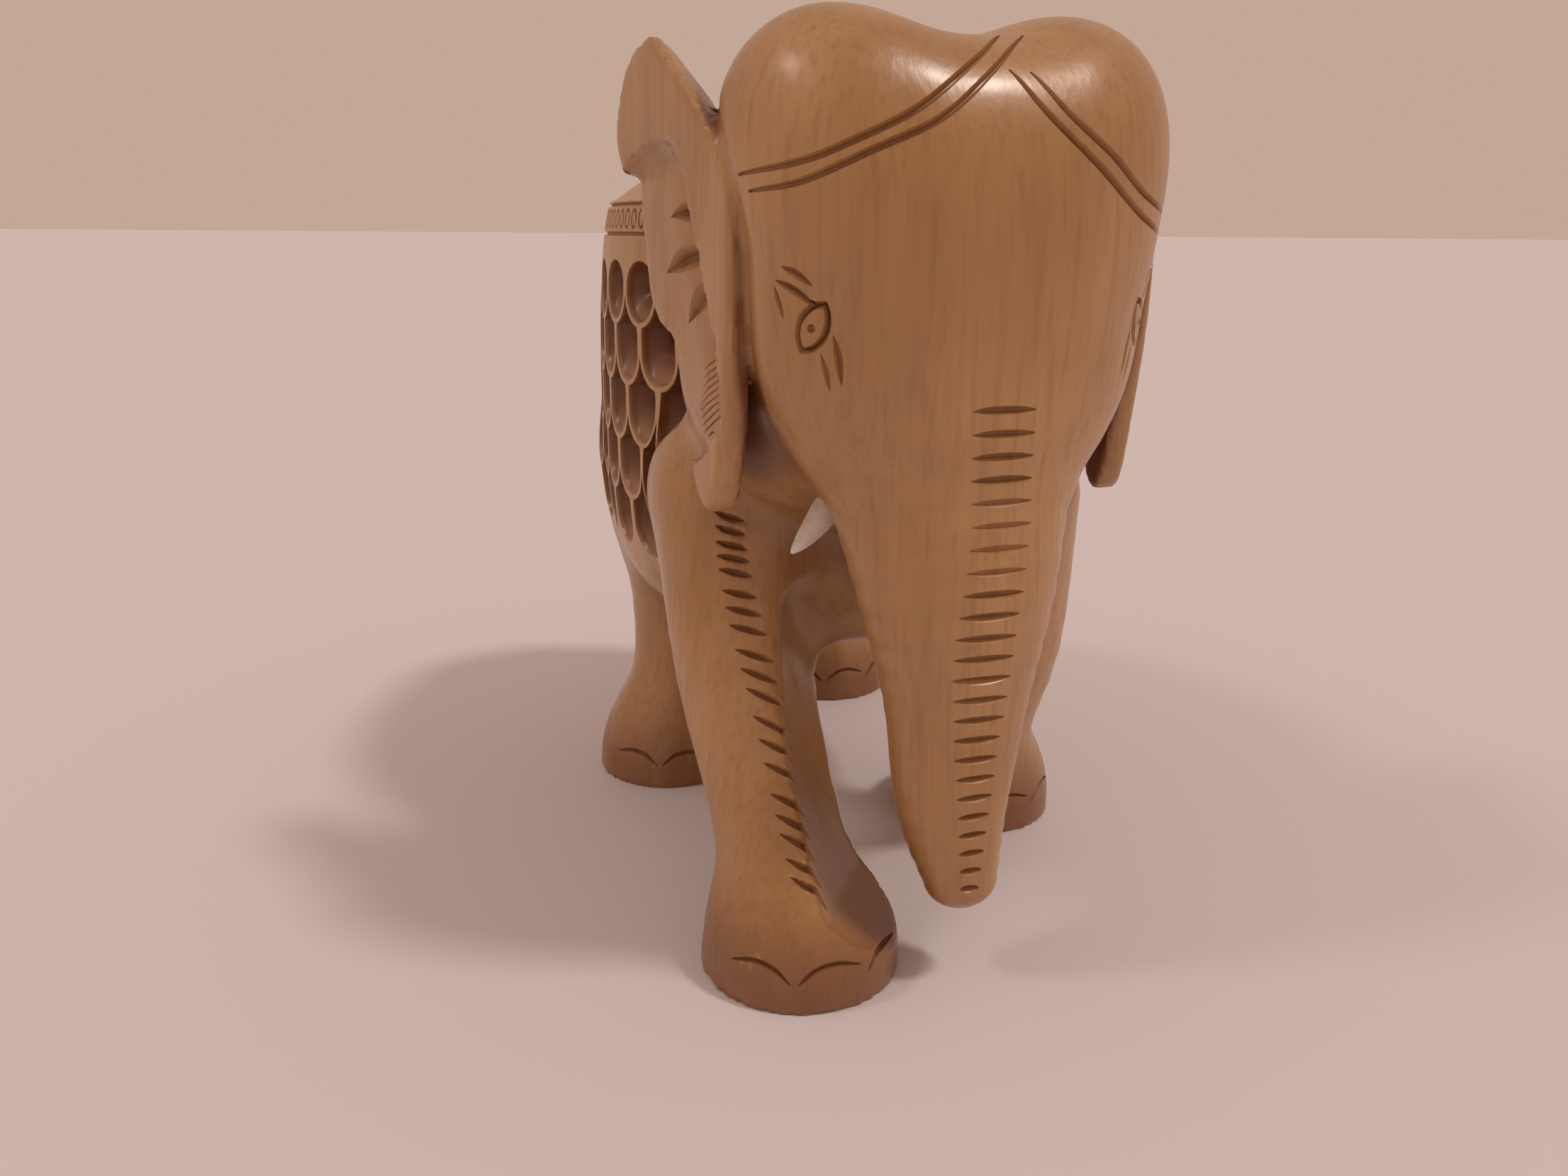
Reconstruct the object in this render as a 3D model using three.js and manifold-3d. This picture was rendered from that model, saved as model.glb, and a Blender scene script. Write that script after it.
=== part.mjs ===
// Carved wooden elephant with a pierced (jali) belly, a loose calf carved inside it and two inlaid tusks.
// Millimetres, +Z up. The elephant faces -Y and its right side is -X.
// Origin: centre of the footprint's bounding box, on the surface the feet stand on.
import * as THREE from 'three';
import { mergeVertices } from 'three/addons/utils/BufferGeometryUtils.js';
import Module from 'manifold-3d';

// ---- Driving dimensions -------------------------------------------------------------------------
const FORM_STEP = 4.5;        // facet size of the elephant
const CALF_STEP = 2.6;        // facet size of the calf
const GAP = 0.3;              // clearance between pieces that touch
const HOME = [-2.5, -18];     // shift that brings the footprint's centre to the origin

const TORSO = { centre: [0, 26, 77.5], radii: [34, 49, 41.5], power: 2, upright: 4.5 };
const SHOULDER = { centre: [0, -18, 88], radii: [31, 18, 26], power: 2.6 };
const RUMP = { centre: [0, 54, 74], radii: [29.6, 34, 39.5], power: 2.7 };
const SKULL = { centre: [-0.4, -34, 98.5], radii: [27.8, 21, 27.6], power: 2.7 };
const BOSS = { centre: [15.4, -33.5, 113.6], radii: [14.2, 15.8, 15.6], power: 2.1 };
const HOLLOW = { centre: [0, 28, 78], radii: [28.5, 41, 32.5], power: 2.2, upright: 4 };
const HOLLOW_FLOOR = 47;      // height of the flat floor that the calf stands on

const EAR_ROOT = [30, -38];   // x and y where the ear leaves the head
const EAR_FLARE = 0.18;       // how fast the flap stands out from the head as it runs back
const EAR_THICK = 4;
// The flap's outline, seen from the side: y and z, from its pointed top, down the rear edge, up the front.
const EAR_OUTLINE = [
  [-14.5, 127.6], [-8.5, 126.3], [-3.6, 122.5], [-0.8, 116], [-2.6, 110.6], [-6.6, 103], [-9.6, 92],
  [-16.5, 87.5], [-19, 82.5], [-24, 78], [-28, 67.8], [-33, 67.6], [-36, 78], [-38.5, 92], [-38, 106],
  [-33, 114.5],
];

// Staggered rows of scales: the first row's top, the first scale's y and the distances between them.
const LATTICE = { rows: 5, top: 98, pitch: 9.6, columns: 6, first: -2, spacing: 11.2 };
const HOLE = { half_width: 2.9, half_height: 3.4, drop: 2.6 };    // drop: from the top of its row

const SAWN_OFF = 3;           // the feet are formed this far below the ground, then cut level

const TUSK = {
  root: [13.6, -31, 66.5],
  lean: [0.66, -0.36, -0.72],
  radius: 2.1,
  peg: 6,
  reach: 10.5,
  hook: 1.6,
};

// A limb is a chain of [x, y, z, radius] stations.
const LEGS = {
  front_right: [
    [-19.5, -4, 62, 13.5], [-20.8, -15, 38, 11.2], [-20.2, -31, 18, 9.9], [-19.2, -36.6, 5, 13.8],
    [-19.2, -37, 1, 14.4],
  ],
  front_left: [
    [21, -12, 62, 13.8], [23.6, -9.5, 38, 11.6], [25, -3, 19, 9.6], [27.6, 3, 5, 13.6],
    [27.8, 3.4, 1, 14],
  ],
  rear_right: [
    [-16, 50, 60, 14], [-17.4, 43, 36, 10.8], [-19.4, 39, 19, 9.5], [-21.9, 37.6, 5, 13.2],
    [-22.2, 37.5, 1, 13.8],
  ],
  rear_left: [
    [16, 63, 60, 14], [18, 70, 36, 10.8], [20.5, 71.5, 19, 9.5], [22.6, 72, 5, 13.2],
    [22.9, 72, 1, 13.8],
  ],
};
const NECK = [[0, -24, 94, 21], [0, 2, 92, 24]];
const TRUNK = [
  [0, -39, 74, 14.2], [0, -43.6, 58, 11.3], [0, -45.4, 42, 8.3], [-0.2, -46, 27, 6.6],
  [1, -47, 15.4, 4.4],
];
const TRUNK_SPREAD = 1.22;    // the trunk is this much wider than deep
const TAIL = [
  [0, 79, 106, 3.4], [0, 87, 86, 3.1], [0, 87.6, 66, 2.8], [0, 83.5, 50, 2.8], [0, 79.5, 41, 4.2],
];

const CALF_AT = [0, 30];      // where the calf stands at rest
const CALF = {
  torso: { centre: [0, 2, 20], radii: [9.5, 14, 10], power: 2.3 },
  skull: { centre: [0, -13.5, 25], radii: [7.2, 6.5, 8], power: 2.2 },
  ear: { centre: [8, -9, 24.5], radii: [2.6, 5.5, 7.5], power: 2.2 },
  trunk: [[0, -17.5, 23, 4], [0, -20, 15, 2.8], [0, -20.2, 6, 2]],
  legs: [[-5, -7.5], [5, -7.5], [-5, 10.5], [5, 10.5]],
  leg_top: 15,
  leg_radius: 3.7,
};

const WOOD = { color: 0xb9844f, roughness: 0.42, metalness: 0 };
const BONE = { color: 0xf1efe6, roughness: 0.3, metalness: 0 };

const wasm = await Module();
wasm.setup();

// ---- Forms: each is a function of a point, below zero inside the wood ------------------------------
const softMin = (a, b, blend) => {
  const overlap = Math.max(blend - Math.abs(a - b), 0);
  return Math.min(a, b) - (overlap * overlap) / (4 * blend);
};

// A rounded box-like ellipsoid: power 2 is a true ellipsoid, a higher power is squarer. The power shapes
// the plan, and the upright power, when it differs, the section from top to bottom.
function egg({ centre, radii, power, upright = power }, x, y, z) {
  const [u, v, w] = [x, y, z].map((value, k) => Math.abs(value - centre[k]) / radii[k]);
  const around = Math.max((u ** power + v ** power) ** (1 / power), 1e-3);
  const size = (around ** upright + w ** upright) ** (1 / upright);
  const level = (around / size) ** (upright - 1);
  const slope = Math.hypot(
    (level * (u / around) ** (power - 1)) / radii[0],
    (level * (v / around) ** (power - 1)) / radii[1],
    (w / size) ** (upright - 1) / radii[2],
  );
  return (size - 1) / slope;
}

function segment(a, b, x, y, z) {
  const [dx, dy, dz] = [b[0] - a[0], b[1] - a[1], b[2] - a[2]];
  const along = ((x - a[0]) * dx + (y - a[1]) * dy + (z - a[2]) * dz) / (dx * dx + dy * dy + dz * dz);
  const t = Math.min(Math.max(along, 0), 1);
  return Math.hypot(x - a[0] - t * dx, y - a[1] - t * dy, z - a[2] - t * dz) - a[3] - t * (b[3] - a[3]);
}

// The stations joined by a smooth curve, as short straight runs.
function smoothChain(stations) {
  const path = new THREE.CatmullRomCurve3(stations.map(([x, y, z]) => new THREE.Vector3(x, y, z)));
  const girth = new THREE.CatmullRomCurve3(stations.map((s, k) => new THREE.Vector3(s[3], k, 0)));
  const runs = (stations.length - 1) * 4;
  return Array.from({ length: runs + 1 }, (_, k) => {
    const t = k / runs;
    return [...path.getPoint(t), girth.getPoint(t).x];
  });
}

function limb(chain, x, y, z) {
  let depth = Infinity;
  for (let k = 1; k < chain.length; k += 1) {
    depth = Math.min(depth, segment(chain[k - 1], chain[k], x, y, z));
  }
  return depth;
}

const LEG_CHAINS = Object.values(LEGS).map(smoothChain);
const NECK_CHAIN = smoothChain(NECK);
const TRUNK_CHAIN = smoothChain(TRUNK);
const CALF_TRUNK_CHAIN = smoothChain(CALF.trunk);

function elephantForm(x, y, z) {
  let wood = softMin(egg(TORSO, x, y, z), egg(RUMP, x, y, z), 8);
  wood = softMin(wood, egg(SHOULDER, x, y, z), 6);
  for (const chain of LEG_CHAINS) wood = softMin(wood, limb(chain, x, y, z), 7);
  wood = softMin(wood, limb(NECK_CHAIN, x, y, z), 8);
  const head = softMin(egg(SKULL, x, y, z), egg(BOSS, Math.abs(x), y, z), 5);
  const trunk = limb(TRUNK_CHAIN, x / TRUNK_SPREAD, y, z);
  return Math.max(softMin(wood, softMin(head, trunk, 9), 5), -SAWN_OFF - z);
}

function calfForm(x, y, z) {
  let wood = egg(CALF.torso, x, y, z);
  for (const [lx, ly] of CALF.legs) {
    const hip = [lx, ly, CALF.leg_top, CALF.leg_radius];
    const foot = [lx, ly, -SAWN_OFF, CALF.leg_radius];
    wood = softMin(wood, segment(hip, foot, x, y, z), 2);
  }
  wood = softMin(wood, egg(CALF.skull, x, y, z), 3);
  wood = softMin(wood, limb(CALF_TRUNK_CHAIN, x, y, z), 2.5);
  wood = softMin(wood, egg(CALF.ear, Math.abs(x), y, z), 3);
  return Math.max(wood, -SAWN_OFF - z);
}

// ---- Skinning: a closed mesh on a form's zero surface ----------------------------------------------
// One point for each grid cell that the surface crosses, and one quad for each crossed grid edge.
function skin(form, low, high, step) {
  const count = low.map((start, k) => Math.ceil((high[k] - start) / step) + 1);
  const index = (i, j, k) => (k * count[1] + j) * count[0] + i;
  const at = (i, j, k) => [low[0] + i * step, low[1] + j * step, low[2] + k * step];
  const depth = new Float64Array(count[0] * count[1] * count[2]);
  for (let k = 0; k < count[2]; k += 1) {
    for (let j = 0; j < count[1]; j += 1) {
      for (let i = 0; i < count[0]; i += 1) depth[index(i, j, k)] = form(...at(i, j, k));
    }
  }
  const points = [];
  const cellPoint = new Map();
  for (let k = 0; k < count[2] - 1; k += 1) {
    for (let j = 0; j < count[1] - 1; j += 1) {
      for (let i = 0; i < count[0] - 1; i += 1) {
        const crossing = cellCrossing(depth, index, at, step, i, j, k);
        if (!crossing) continue;
        cellPoint.set(index(i, j, k), points.length);
        points.push(settle(form, crossing, step));
      }
    }
  }
  return new THREE.BufferGeometry().setFromPoints(points.map((p) => new THREE.Vector3(...p)))
    .setIndex(crossedQuads(depth, index, count, cellPoint));
}

function cellCrossing(depth, index, at, step, i, j, k) {
  const sum = [0, 0, 0];
  let hits = 0;
  for (let axis = 0; axis < 3; axis += 1) {
    for (let corner = 0; corner < 4; corner += 1) {
      const a = [i, j, k];
      a[(axis + 1) % 3] += corner & 1;
      a[(axis + 2) % 3] += corner >> 1;
      const b = [...a];
      b[axis] += 1;
      const [da, db] = [depth[index(...a)], depth[index(...b)]];
      if (da < 0 === db < 0) continue;
      const point = at(...a);
      point[axis] += (step * da) / (da - db);
      point.forEach((value, n) => { sum[n] += value; });
      hits += 1;
    }
  }
  return hits ? sum.map((value) => value / hits) : null;
}

// Moves a point onto the surface, but never out of reach of its own cell.
function settle(form, start, step) {
  const point = [...start];
  const probe = 0.05;
  for (let round = 0; round < 3; round += 1) {
    const here = form(...point);
    const slope = point.map((value, n) => {
      const ahead = [...point];
      ahead[n] += probe;
      return (form(...ahead) - here) / probe;
    });
    const steepness = Math.max(slope.reduce((total, s) => total + s * s, 0), 0.2);
    slope.forEach((s, n) => { point[n] -= (here * s) / steepness; });
  }
  const reach = step * 0.45;
  return point.map((value, n) => Math.min(Math.max(value, start[n] - reach), start[n] + reach));
}

function crossedQuads(depth, index, count, cellPoint) {
  const triangles = [];
  for (let k = 1; k < count[2] - 1; k += 1) {
    for (let j = 1; j < count[1] - 1; j += 1) {
      for (let i = 1; i < count[0] - 1; i += 1) {
        for (let axis = 0; axis < 3; axis += 1) {
          const next = [i, j, k];
          next[axis] += 1;
          const inside = depth[index(i, j, k)] < 0;
          if (inside === depth[index(...next)] < 0) continue;
          const around = [[1, 1], [0, 1], [0, 0], [1, 0]].map(([p, q]) => {
            const cell = [i, j, k];
            cell[(axis + 1) % 3] -= p;
            cell[(axis + 2) % 3] -= q;
            return cellPoint.get(index(...cell));
          });
          const ring = inside ? around : [...around].reverse();
          triangles.push(ring[0], ring[1], ring[2], ring[0], ring[2], ring[3]);
        }
      }
    }
  }
  return triangles;
}

// ---- Solids: joining and cutting -------------------------------------------------------------------
function toSolid(geometry) {
  const bare = geometry.clone();
  bare.deleteAttribute('normal');
  bare.deleteAttribute('uv');
  const merged = mergeVertices(bare, 1e-3);
  return new wasm.Manifold(new wasm.Mesh({
    numProp: 3,
    vertProperties: new Float32Array(merged.attributes.position.array),
    triVerts: new Uint32Array(merged.index.array),
  }));
}

function toGeometry(solid) {
  const mesh = solid.getMesh();
  const geometry = new THREE.BufferGeometry();
  geometry.setAttribute('position', new THREE.BufferAttribute(mesh.vertProperties, 3));
  geometry.setIndex(new THREE.BufferAttribute(mesh.triVerts, 1));
  geometry.computeVertexNormals();
  return geometry;
}

function toMesh(name, solid, finish) {
  const mesh = new THREE.Mesh(toGeometry(solid), new THREE.MeshStandardMaterial(finish));
  mesh.name = name;
  return mesh;
}

const slab = (low, high) => {
  const geometry = new THREE.BoxGeometry(...low.map((value, k) => high[k] - value));
  return toSolid(geometry.translate(...low.map((value, k) => (value + high[k]) / 2)));
};

// ---- The elephant ----------------------------------------------------------------------------------
function carvedBlock() {
  const form = toSolid(skin(elephantForm, [-46, -64, -10], [46, 98, 134], FORM_STEP));
  return form.add(ear(-1)).add(ear(1)).add(tail()).intersect(slab([-60, -80, 0], [60, 110, 140]));
}

// An ear is a flat flap that flares away from the head as it runs back.
function ear(side) {
  const outline = new THREE.Shape(EAR_OUTLINE.map(([y, z]) => new THREE.Vector2(y, z)));
  const flap = new THREE.ExtrudeGeometry(outline, { depth: EAR_THICK, bevelEnabled: false });
  const position = flap.attributes.position;
  for (let n = 0; n < position.count; n += 1) {
    const [y, z, inward] = [position.getX(n), position.getY(n), position.getZ(n)];
    const out = EAR_ROOT[0] + EAR_FLARE * (y - EAR_ROOT[1]) - inward;
    position.setXYZ(n, side * out, y, z);
  }
  if (side > 0) flap.setIndex([...Array(position.count).keys()].reverse());
  return toSolid(flap);
}

// The tail hangs against the rump: rings around a curve, closed at both ends.
function tail() {
  const chain = smoothChain(TAIL);
  const sides = 8;
  const points = chain.flatMap(([x, y, z, r]) => Array.from({ length: sides }, (_, k) => {
    const angle = (2 * Math.PI * k) / sides;
    return new THREE.Vector3(x + r * Math.cos(angle), y + r * Math.sin(angle), z);
  }));
  const faces = [];
  for (let ring = 1; ring < chain.length; ring += 1) {
    for (let k = 0; k < sides; k += 1) {
      const [a, b] = [(ring - 1) * sides + k, (ring - 1) * sides + ((k + 1) % sides)];
      faces.push(a, a + sides, b, b, a + sides, b + sides);
    }
  }
  const last = (chain.length - 1) * sides;
  for (let k = 1; k < sides - 1; k += 1) faces.push(0, k, k + 1, last, last + k + 1, last + k);
  return toSolid(new THREE.BufferGeometry().setFromPoints(points).setIndex(faces));
}

// The calf's room: an egg shape with its bottom levelled to a floor.
function hollow() {
  const { centre, radii, power, upright } = HOLLOW;
  const ball = new THREE.SphereGeometry(1, 20, 14);
  const position = ball.attributes.position;
  for (let n = 0; n < position.count; n += 1) {
    const direction = [position.getX(n), position.getY(n), position.getZ(n)];
    const [u, v, w] = direction.map(Math.abs);
    const size = ((u ** power + v ** power) ** (upright / power) + w ** upright) ** (1 / upright);
    position.setXYZ(n, ...direction.map((value, k) => centre[k] + (radii[k] * value) / size));
  }
  return toSolid(ball).intersect(slab([-60, -60, HOLLOW_FLOOR], [60, 110, 140]));
}

// One pierced hole of the lattice: an upright drop, wide at the top, cut straight in from one flank.
function latticeHole(side, y, z) {
  const { half_width: w, half_height: h } = HOLE;
  const corners = [[-0.8 * w, h], [0.8 * w, h], [w, -0.1 * h], [0, -h], [-w, -0.1 * h]];
  const drop = new THREE.Shape(corners.map(([u, v]) => new THREE.Vector2(u, v)));
  const cutter = new THREE.ExtrudeGeometry(drop, { depth: 34, bevelEnabled: false });
  cutter.rotateX(Math.PI / 2).rotateZ(Math.PI / 2);
  return toSolid(cutter.translate(side > 0 ? 12 : -46, y, z));
}

function latticeHoles() {
  const cuts = [];
  for (const side of [-1, 1]) {
    for (let row = 0; row < LATTICE.rows; row += 1) {
      const z = LATTICE.top - row * LATTICE.pitch - HOLE.drop;
      const stagger = (row % 2) * 0.5 * LATTICE.spacing;
      const columns = LATTICE.columns - (row % 2);
      for (let column = 0; column < columns; column += 1) {
        cuts.push(latticeHole(side, LATTICE.first + stagger + column * LATTICE.spacing, z));
      }
    }
  }
  return cuts;
}

// A tusk lies along its lean, curving a little upward past the jaw; its peg goes back into the head.
function tuskFrame(side) {
  const lean = new THREE.Vector3(side * TUSK.lean[0], TUSK.lean[1], TUSK.lean[2]).normalize();
  const root = new THREE.Vector3(side * TUSK.root[0], TUSK.root[1], TUSK.root[2]);
  const turn = new THREE.Quaternion().setFromUnitVectors(new THREE.Vector3(0, 1, 0), lean);
  return new THREE.Matrix4().compose(root, turn, new THREE.Vector3(1, 1, 1));
}

function tusk(side) {
  const { radius, peg, reach, hook } = TUSK;
  const profile = [[0, -peg], [radius, -peg], [radius, 0], [0.86 * radius, 0.35 * reach],
    [0.62 * radius, 0.65 * reach], [0.3 * radius, 0.9 * reach], [0, reach]];
  const horn = new THREE.LatheGeometry(profile.map(([r, t]) => new THREE.Vector2(r, t)), 14);
  const frame = tuskFrame(side);
  const position = horn.attributes.position;
  const point = new THREE.Vector3();
  for (let n = 0; n < position.count; n += 1) {
    point.fromBufferAttribute(position, n);
    const out = Math.max(point.y / reach, 0);
    point.applyMatrix4(frame);
    point.z += hook * out * out;
    position.setXYZ(n, point.x, point.y, point.z);
  }
  return toSolid(horn);
}

function tuskSocket(side) {
  const bore = new THREE.CylinderGeometry(TUSK.radius + GAP, TUSK.radius + GAP, TUSK.peg + 6 + GAP, 14);
  bore.translate(0, (6 - TUSK.peg - GAP) / 2, 0);
  return toSolid(bore.applyMatrix4(tuskFrame(side)));
}

function elephantBody() {
  const cuts = [hollow(), ...latticeHoles(), tuskSocket(-1), tuskSocket(1)];
  return cuts.reduce((wood, cut) => wood.subtract(cut), carvedBlock());
}

// ---- The calf --------------------------------------------------------------------------------------
function calf() {
  const form = skin(calfForm, [-14, -28, -9], [14, 22, 38], CALF_STEP);
  form.translate(CALF_AT[0], CALF_AT[1], HOLLOW_FLOOR + GAP);
  return toSolid(form).intersect(slab([-60, -80, HOLLOW_FLOOR + GAP], [60, 110, 140]));
}

const elephant = new THREE.Group();
elephant.position.set(HOME[0], HOME[1], 0);
elephant.add(toMesh('body', elephantBody(), WOOD));
elephant.add(toMesh('tusk_right', tusk(-1), BONE));
elephant.add(toMesh('tusk_left', tusk(1), BONE));
elephant.add(toMesh('calf', calf(), WOOD));

export default elephant;
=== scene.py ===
"""Carved wooden elephant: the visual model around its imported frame.

The carving is modelled in millimetres in the carver's frame: the head faces -Y, the elephant's right is -X,
and x = 0 is the middle of the head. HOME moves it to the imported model's frame, and MM turns it to metres.
"""
import math

import bpy
import numpy as np
from mathutils import Matrix, Vector
from mathutils.bvhtree import BVHTree


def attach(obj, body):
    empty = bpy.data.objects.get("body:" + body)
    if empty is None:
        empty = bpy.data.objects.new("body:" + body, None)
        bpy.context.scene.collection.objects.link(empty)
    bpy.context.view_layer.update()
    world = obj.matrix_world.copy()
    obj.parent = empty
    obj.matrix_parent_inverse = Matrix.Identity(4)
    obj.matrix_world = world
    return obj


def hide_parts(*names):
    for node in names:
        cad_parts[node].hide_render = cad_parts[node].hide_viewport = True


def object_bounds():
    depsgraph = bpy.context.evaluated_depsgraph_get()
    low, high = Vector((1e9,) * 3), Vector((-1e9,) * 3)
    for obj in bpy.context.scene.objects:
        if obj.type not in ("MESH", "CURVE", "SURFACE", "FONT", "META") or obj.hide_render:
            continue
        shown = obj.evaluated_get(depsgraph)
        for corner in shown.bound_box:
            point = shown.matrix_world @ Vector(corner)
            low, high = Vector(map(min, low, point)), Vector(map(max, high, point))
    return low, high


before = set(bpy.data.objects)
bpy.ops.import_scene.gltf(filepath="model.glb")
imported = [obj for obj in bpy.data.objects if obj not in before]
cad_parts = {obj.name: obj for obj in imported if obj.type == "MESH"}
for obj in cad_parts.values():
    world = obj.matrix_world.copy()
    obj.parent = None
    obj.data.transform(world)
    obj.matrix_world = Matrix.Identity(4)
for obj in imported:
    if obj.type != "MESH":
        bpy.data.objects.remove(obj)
cad_box = [list(corner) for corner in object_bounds()]

MM = 0.001
HOME = np.array([-2.5, -18.0, 0.0])
GRID = 0.95                    # facet size of the uncut form, mm

# ---- The form's driving dimensions, mm --------------------------------------------------------------
# The eggs, limbs and ear outline are the frame's. The dish, hem, leg flats and eyes are carving added here.
TORSO = dict(centre=(0, 26, 77.5), radii=(34, 49, 41.5), power=2, upright=4.5)
SHOULDER = dict(centre=(0, -18, 88), radii=(31, 18, 26), power=2.6)
RUMP = dict(centre=(0, 54, 74), radii=(29.6, 34, 39.5), power=2.7)
SKULL = dict(centre=(-0.4, -34, 98.5), radii=(27.8, 21, 27.6), power=2.7)
BOSS = dict(centre=(15.4, -33.5, 113.6), radii=(14.2, 15.8, 15.6), power=2.1)
HOLLOW = dict(centre=(0, 28, 78), radii=(28.5, 41, 32.5), power=2.2, upright=4)
HOLLOW_FLOOR = 47
GAP = 0.3

# A limb is a chain of (x, y, z, radius) stations.
LEGS = dict(
    front_right=[(-19.5, -4, 62, 13.5), (-20.8, -15, 38, 11.2), (-20.2, -31, 18, 9.9),
                 (-19.2, -36.6, 5, 13.8), (-19.2, -37, 1, 14.4)],
    front_left=[(21, -12, 62, 13.8), (23.6, -9.5, 38, 11.6), (25, -3, 19, 9.6), (27.6, 3, 5, 13.6),
                (27.8, 3.4, 1, 14)],
    rear_right=[(-16, 50, 60, 14), (-17.4, 43, 36, 10.8), (-19.4, 39, 19, 9.5), (-21.9, 37.6, 5, 13.2),
                (-22.2, 37.5, 1, 13.8)],
    rear_left=[(16, 63, 60, 14), (18, 70, 36, 10.8), (20.5, 71.5, 19, 9.5), (22.6, 72, 5, 13.2),
               (22.9, 72, 1, 13.8)],
)
NECK = [(0, -24, 94, 21), (0, 2, 92, 24)]
TRUNK = [(0, -39, 74, 14.2), (0, -43.6, 58, 11.3), (0, -45.4, 42, 8.3), (-0.2, -46, 27, 6.6),
         (1, -47, 15.4, 4.4)]
TRUNK_SPREAD = 1.22
TAIL = [(0, 79, 106, 3.4), (0, 87, 86, 3.1), (0, 87.6, 66, 2.8), (0, 83.5, 50, 2.8), (0, 79.5, 41, 4.2)]

EAR_ROOT = (30, -38)
EAR_FLARE = 0.18
EAR_THICK = 4.0
EAR_ROUND = 1.1                # radius of the ear's edges
EAR_BEVEL = 0.65               # how fast the top of the ear falls away towards the head
EAR_OUTLINE = [(-14.5, 127.6), (-8.5, 126.3), (-3.6, 122.5), (-0.8, 116), (-2.6, 110.6), (-6.6, 103),
               (-9.6, 92), (-16.5, 87.5), (-19, 82.5), (-24, 78), (-28, 67.8), (-33, 67.6), (-36, 78),
               (-38.5, 92), (-38, 106), (-33, 114.5)]
# The dished part of the ear, below its hood and behind its rolled front rim; it runs out past the rear edge.
EAR_DISH = [(2, 108.5), (-3, 110.5), (-8.7, 113), (-16.5, 114.3), (-22.3, 112.6), (-25.2, 108), (-30, 98),
            (-34, 89), (-35.4, 82), (-34.6, 78), (-31.5, 75), (-27, 72.8), (-18, 73), (0, 90)]
EAR_DISH_DEPTH = 2.3

LATTICE = dict(rows=5, top=98, pitch=9.6, columns=6, first=-2, spacing=11.2)
HEM_TOP = 107.2
EYE = (23.1, -49, 91.6)
# The flat that runs down the inner front of each foreleg: its direction, and its share of the leg's radius.
LEG_FLAT = (0.83, -0.56)
LEG_FLAT_SHARE = 0.74
CALF_AT = (0, 30)


# ---- Forms: functions of points, below zero inside the wood ---------------------------------------
def soft_min(a, b, blend):
    overlap = np.maximum(blend - np.abs(a - b), 0)
    return np.minimum(a, b) - overlap * overlap / (4 * blend)


def egg(shape, x, y, z):
    """A rounded box-like ellipsoid: power 2 is a true ellipsoid, a higher power is squarer."""
    (cx, cy, cz), (rx, ry, rz), power = shape["centre"], shape["radii"], shape["power"]
    upright = shape.get("upright", power)
    u, v, w = abs(x - cx) / rx, abs(y - cy) / ry, abs(z - cz) / rz
    around = np.maximum((u**power + v**power) ** (1 / power), 1e-3)
    size = (around**upright + w**upright) ** (1 / upright)
    level = (around / size) ** (upright - 1)
    slope_x = level * (u / around) ** (power - 1) / rx
    slope_y = level * (v / around) ** (power - 1) / ry
    slope_z = (w / size) ** (upright - 1) / rz
    return (size - 1) / np.sqrt(slope_x**2 + slope_y**2 + slope_z**2)


def catmull_rom(points, steps):
    """A smooth curve through the points, with as many steps as asked between each pair."""
    p = np.array(points, float)
    padded = np.vstack([2 * p[0] - p[1], p, 2 * p[-1] - p[-2]])
    out = []
    for k in range(1, len(padded) - 2):
        a, b, c, d = padded[k - 1 : k + 3]
        for t in np.arange(steps) / steps:
            bend = (2 * a - 5 * b + 4 * c - d) * t**2 + (3 * b - a - 3 * c + d) * t**3
            out.append(b + 0.5 * ((c - a) * t + bend))
    return np.array(out + [p[-1]])


def limb(chain, x, y, z):
    depth = np.full(np.broadcast(x, y, z).shape, 1e3, np.float32)
    for a, b in zip(chain[:-1], chain[1:]):
        d = b - a
        along = ((x - a[0]) * d[0] + (y - a[1]) * d[1] + (z - a[2]) * d[2]) / (d[:3] @ d[:3])
        t = np.clip(along, 0, 1)
        gap = (x - a[0] - t * d[0]) ** 2 + (y - a[1] - t * d[1]) ** 2 + (z - a[2] - t * d[2]) ** 2
        depth = np.minimum(depth, np.sqrt(gap) - a[3] - t * d[3])
    return depth


def outline_distance(outline, y, z):
    """How far a point is outside a closed outline, less than zero inside it."""
    nearest = np.full(np.broadcast(y, z).shape, 1e6)
    inside = np.zeros(nearest.shape, bool)
    for (ay, az), (by, bz) in zip(outline, np.roll(outline, -1, axis=0)):
        ey, ez = by - ay, bz - az
        t = np.clip(((y - ay) * ey + (z - az) * ez) / (ey * ey + ez * ez), 0, 1)
        nearest = np.minimum(nearest, (y - ay - t * ey) ** 2 + (z - az - t * ez) ** 2)
        if ez != 0:
            inside ^= ((az > z) != (bz > z)) & (y < ay + (z - az) / ez * ey)
    return np.where(inside, -1, 1) * np.sqrt(nearest)


CHAIN_STEPS = 4
LEG_CHAINS = {name: catmull_rom(stations, CHAIN_STEPS) for name, stations in LEGS.items()}
NECK_CHAIN = catmull_rom(NECK, CHAIN_STEPS)
TRUNK_CHAIN = catmull_rom(TRUNK, CHAIN_STEPS)
TAIL_CHAIN = catmull_rom(TAIL, CHAIN_STEPS)
EAR_CURVE = catmull_rom(EAR_OUTLINE + EAR_OUTLINE[:1], 3)[:-1]
DISH_CURVE = catmull_rom(EAR_DISH + EAR_DISH[:1], 3)[:-1]


def ear_face(y):
    return EAR_ROOT[0] + EAR_FLARE * (y - EAR_ROOT[1])


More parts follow.
